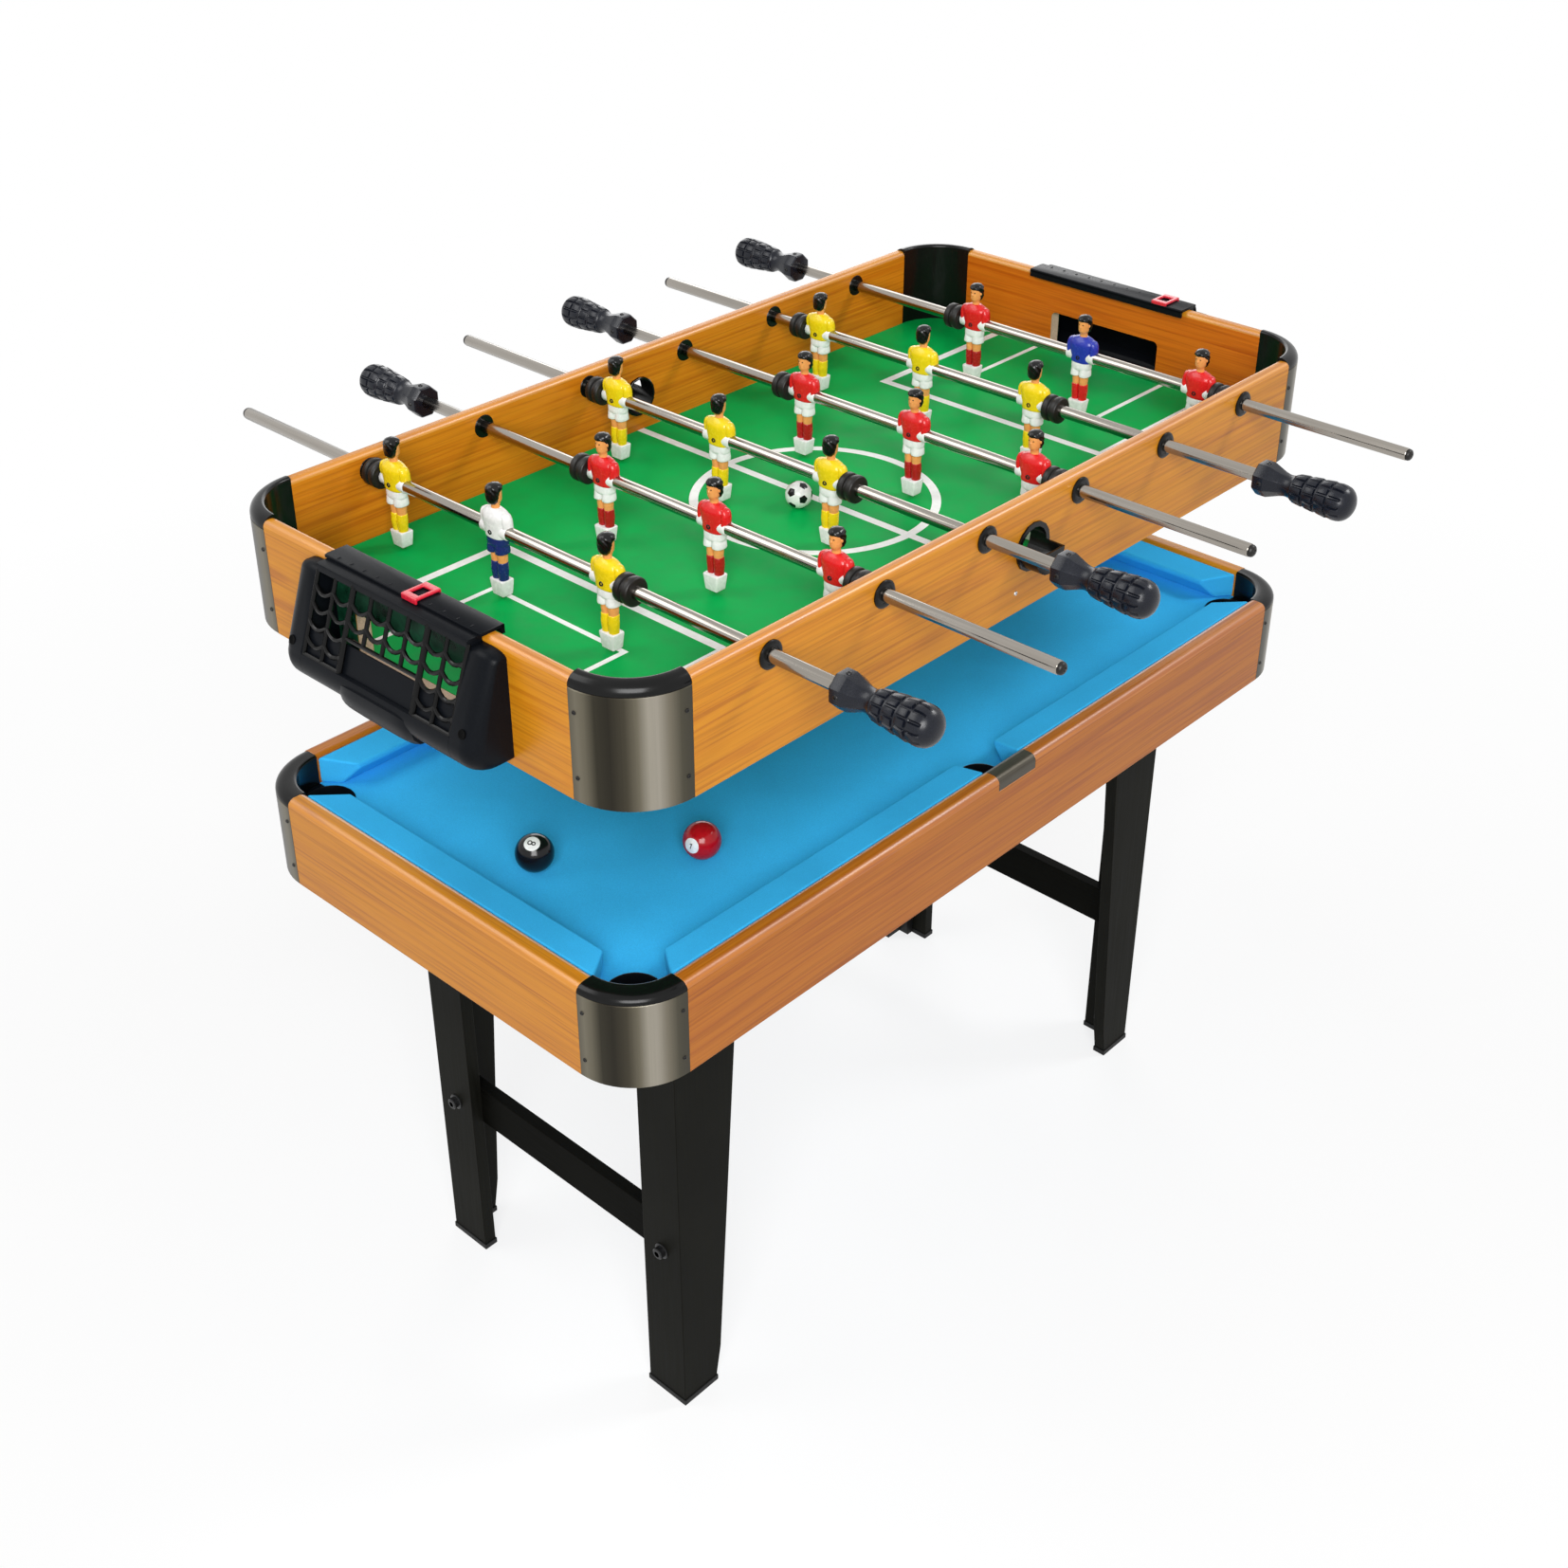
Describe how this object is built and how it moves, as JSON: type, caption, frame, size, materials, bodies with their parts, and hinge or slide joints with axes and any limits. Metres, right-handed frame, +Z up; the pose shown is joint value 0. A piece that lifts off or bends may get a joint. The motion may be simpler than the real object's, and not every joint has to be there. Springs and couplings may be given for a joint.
{
  "type": "foosball table",
  "caption": "Combination game table: a pool table on tapered legs carries a lift-off foosball tray, whose handled player rods slide and spin across the field.",
  "frame": {"origin": "on the floor under the middle of the table", "axes": "+X along the table, +Y across it towards the back, +Z up"},
  "size_m": [1.1298, 0.9561, 0.98],
  "materials": {
    "wood_laminate": "satin woodgrain laminate",
    "blue_felt": "short-nap felt",
    "black_plastic": "glossy moulded",
    "gunmetal_sleeve": "brushed metallic",
    "dark_plastic": "moulded",
    "black_board": "black laminate, satin",
    "foot_plastic": "moulded",
    "black_steel": "black oxide",
    "green_field": "printed board, semi-gloss",
    "red_plastic": "glossy moulded",
    "chrome_rod": "polished tube",
    "handle_rubber": "soft-touch moulded",
    "yellow_team": "painted figures",
    "red_team": "painted figures",
    "bumper_rubber": "moulded rubber"
  },
  "bodies": {
    "table": {"pool_bed": "blue_felt", "rail_front": "wood_laminate", "rail_back": "wood_laminate", "rail_left": "wood_laminate", "rail_right": "wood_laminate", "cushions": "blue_felt", "pool_corner_posts": "black_plastic", "pool_corner_sleeves": "gunmetal_sleeve", "side_pocket_caps": "dark_plastic", "pocket_cups": "dark_plastic", "leg_front_left": "black_board", "leg_front_right": "black_board", "leg_back_left": "black_board", "leg_back_right": "black_board", "leg_feet": "foot_plastic", "leg_blocks": "black_board", "crossbars": "black_board", "leg_bolts": "black_steel"},
    "tray": {"tray_wall_front": "wood_laminate", "tray_wall_back": "wood_laminate", "tray_wall_left": "wood_laminate", "tray_wall_right": "wood_laminate", "tray_corner_posts": "black_plastic", "tray_corner_sleeves": "gunmetal_sleeve", "playfield": "green_field", "rod_bushings": "dark_plastic", "ball_cups": "dark_plastic", "goal_left": "black_plastic", "goal_right": "black_plastic", "net_left": "black_plastic", "net_right": "black_plastic"},
    "bumpers_1": {"rod_1_bumpers": "bumper_rubber"},
    "rod_1": {"rod_1": "chrome_rod", "rod_1_handle_and_plug": "handle_rubber", "rod_1_players": "yellow_team"},
    "bumpers_2": {"rod_2_bumpers": "bumper_rubber"},
    "rod_2": {"rod_2": "chrome_rod", "rod_2_handle_and_plug": "handle_rubber", "rod_2_players": "red_team"},
    "bumpers_3": {"rod_3_bumpers": "bumper_rubber"},
    "rod_3": {"rod_3": "chrome_rod", "rod_3_handle_and_plug": "handle_rubber", "rod_3_players": "yellow_team"},
    "bumpers_4": {"rod_4_bumpers": "bumper_rubber"},
    "rod_4": {"rod_4": "chrome_rod", "rod_4_handle_and_plug": "handle_rubber", "rod_4_players": "red_team"},
    "bumpers_5": {"rod_5_bumpers": "bumper_rubber"},
    "rod_5": {"rod_5": "chrome_rod", "rod_5_handle_and_plug": "handle_rubber", "rod_5_players": "yellow_team"},
    "bumpers_6": {"rod_6_bumpers": "bumper_rubber"},
    "rod_6": {"rod_6": "chrome_rod", "rod_6_handle_and_plug": "handle_rubber", "rod_6_players": "red_team"},
    "score_left": {"score_slider_left": "red_plastic"},
    "score_right": {"score_slider_right": "red_plastic"}
  },
  "joints": [
    {"name": "tray_lift", "type": "slide", "parent": "table", "child": "tray", "axis": [0, 0, 1], "range_m": [-0.182, 0]},
    {"name": "rod_1_slide", "type": "slide", "parent": "tray", "child": "bumpers_1", "axis": [0, 1, 0], "range_m": [-0.1423, 0.0029]},
    {"name": "rod_1_spin", "type": "hinge", "parent": "bumpers_1", "child": "rod_1", "pos_m": [-0.36, 0.0697, 0.934], "axis": [0, 1, 0], "continuous": true},
    {"name": "rod_2_slide", "type": "slide", "parent": "tray", "child": "bumpers_2", "axis": [0, 1, 0], "range_m": [-0.0029, 0.1423]},
    {"name": "rod_2_spin", "type": "hinge", "parent": "bumpers_2", "child": "rod_2", "pos_m": [-0.216, -0.0697, 0.934], "axis": [0, 1, 0], "continuous": true},
    {"name": "rod_3_slide", "type": "slide", "parent": "tray", "child": "bumpers_3", "axis": [0, 1, 0], "range_m": [-0.1379, 0.0073]},
    {"name": "rod_3_spin", "type": "hinge", "parent": "bumpers_3", "child": "rod_3", "pos_m": [-0.072, 0.06534, 0.934], "axis": [0, 1, 0], "continuous": true},
    {"name": "rod_4_slide", "type": "slide", "parent": "tray", "child": "bumpers_4", "axis": [0, 1, 0], "range_m": [-0.0029, 0.1423]},
    {"name": "rod_4_spin", "type": "hinge", "parent": "bumpers_4", "child": "rod_4", "pos_m": [0.072, -0.0697, 0.934], "axis": [0, 1, 0], "continuous": true},
    {"name": "rod_5_slide", "type": "slide", "parent": "tray", "child": "bumpers_5", "axis": [0, 1, 0], "range_m": [-0.1104, 0.0348]},
    {"name": "rod_5_spin", "type": "hinge", "parent": "bumpers_5", "child": "rod_5", "pos_m": [0.216, 0.03775, 0.934], "axis": [0, 1, 0], "continuous": true},
    {"name": "rod_6_slide", "type": "slide", "parent": "tray", "child": "bumpers_6", "axis": [0, 1, 0], "range_m": [-0.0015, 0.1437]},
    {"name": "rod_6_spin", "type": "hinge", "parent": "bumpers_6", "child": "rod_6", "pos_m": [0.36, -0.07115, 0.934], "axis": [0, 1, 0], "continuous": true},
    {"name": "score_left_slide", "type": "slide", "parent": "tray", "child": "score_left", "axis": [0, 1, 0], "range_m": [-0.081, 0.111]},
    {"name": "score_right_slide", "type": "slide", "parent": "tray", "child": "score_right", "axis": [0, 1, 0], "range_m": [-0.021, 0.171]}
  ]
}
